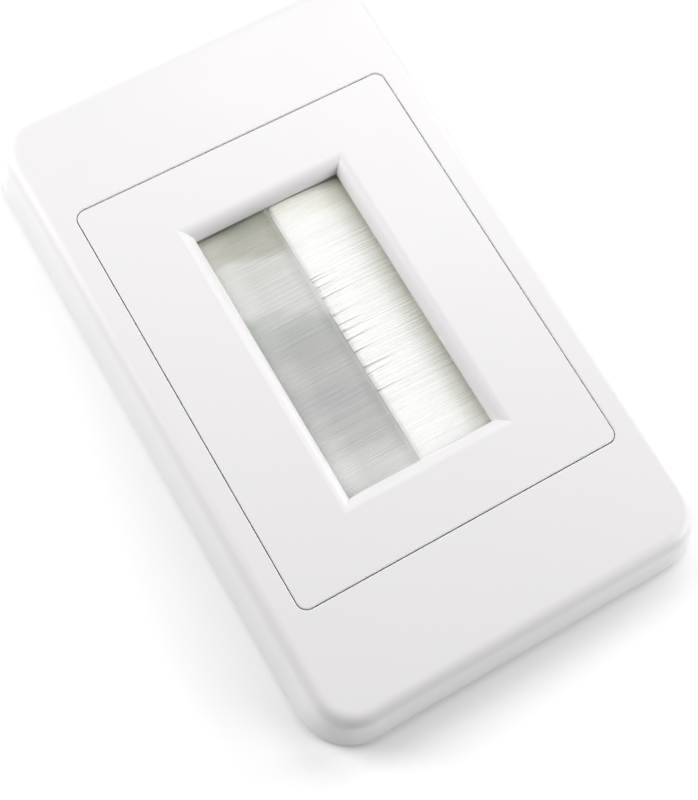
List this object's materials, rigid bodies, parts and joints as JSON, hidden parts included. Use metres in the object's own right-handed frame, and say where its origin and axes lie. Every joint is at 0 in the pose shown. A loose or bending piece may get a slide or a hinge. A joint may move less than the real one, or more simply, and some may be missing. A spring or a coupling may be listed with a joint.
{
  "type": "brush cable grommet wall plate",
  "caption": "Rectangular wall plate with a clip-on rounded surround and a tall opening closed by two facing rows of bristles that cables pass between.",
  "frame": {"origin": "middle of the back of the plate, in the plane of the wall", "axes": "+Z out of the face, away from the wall; +Y along the plate's length; +X across its width. The plate lies on its back."},
  "size_m": [0.07, 0.114, 0.01],
  "materials": {
    "surround_plastic": "fine satin, moulded white",
    "panel_plastic": "fine satin, moulded white",
    "channel_metal": "mill finish, folded",
    "wire_metal": "drawn wire",
    "bristle_nylon": "translucent white filament",
    "bar_plastic": "moulded, matt",
    "screw_metal": "bright zinc"
  },
  "bodies": {
    "root": {"surround": "surround_plastic", "base_plate": "panel_plastic", "left_channel": "channel_metal", "right_channel": "channel_metal", "left_core_wire": "wire_metal", "right_core_wire": "wire_metal", "left_bristles": "bristle_nylon", "right_bristles": "bristle_nylon", "left_clamp_bar": "bar_plastic", "right_clamp_bar": "bar_plastic", "clamp_screws": "screw_metal"}
  },
  "joints": []
}
